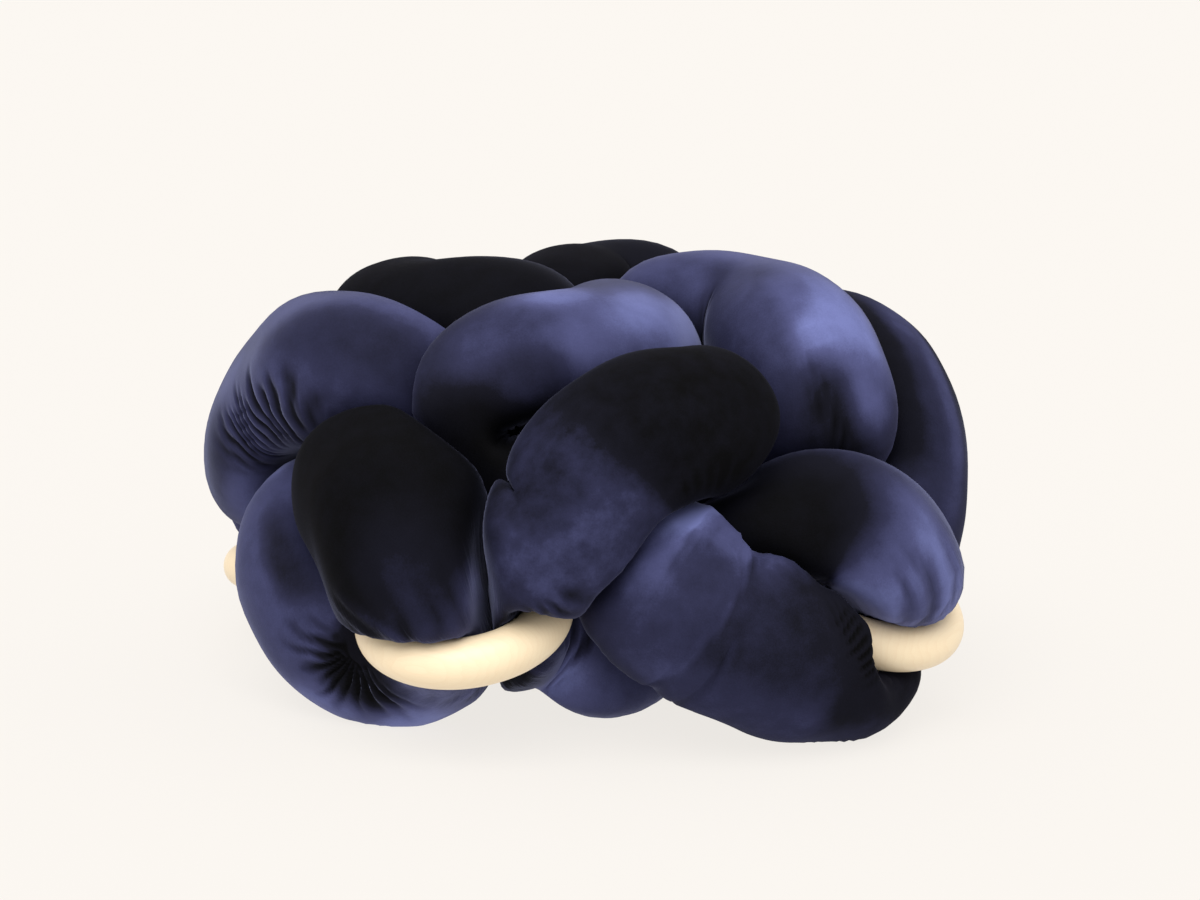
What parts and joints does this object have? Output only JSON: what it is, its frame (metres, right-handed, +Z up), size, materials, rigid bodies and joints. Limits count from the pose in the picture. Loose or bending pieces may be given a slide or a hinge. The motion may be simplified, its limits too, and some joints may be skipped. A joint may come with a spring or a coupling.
{
  "type": "knot cushion",
  "caption": "Square-footed knot cushion: one stuffed velvet tube, closed end to end, worked into a woven knot whose corners are held in round wooden rings.",
  "frame": {"origin": "on the surface that the cushion rests on, below the middle of its box", "axes": "+Z up, away from that surface; the ring at the front left of the picture has bearing -112 degrees from +X"},
  "size_m": [0.5655, 0.5603, 0.3178],
  "materials": {
    "velvet": "midnight blue cotton velvet, short brushed nap",
    "wood": "pale beech, turned and satin lacquered"
  },
  "bodies": {
    "root": {"velvet_tube": "velvet", "wood_ring_1": "wood", "wood_ring_2": "wood", "wood_ring_3": "wood", "wood_ring_4": "wood"}
  },
  "joints": []
}
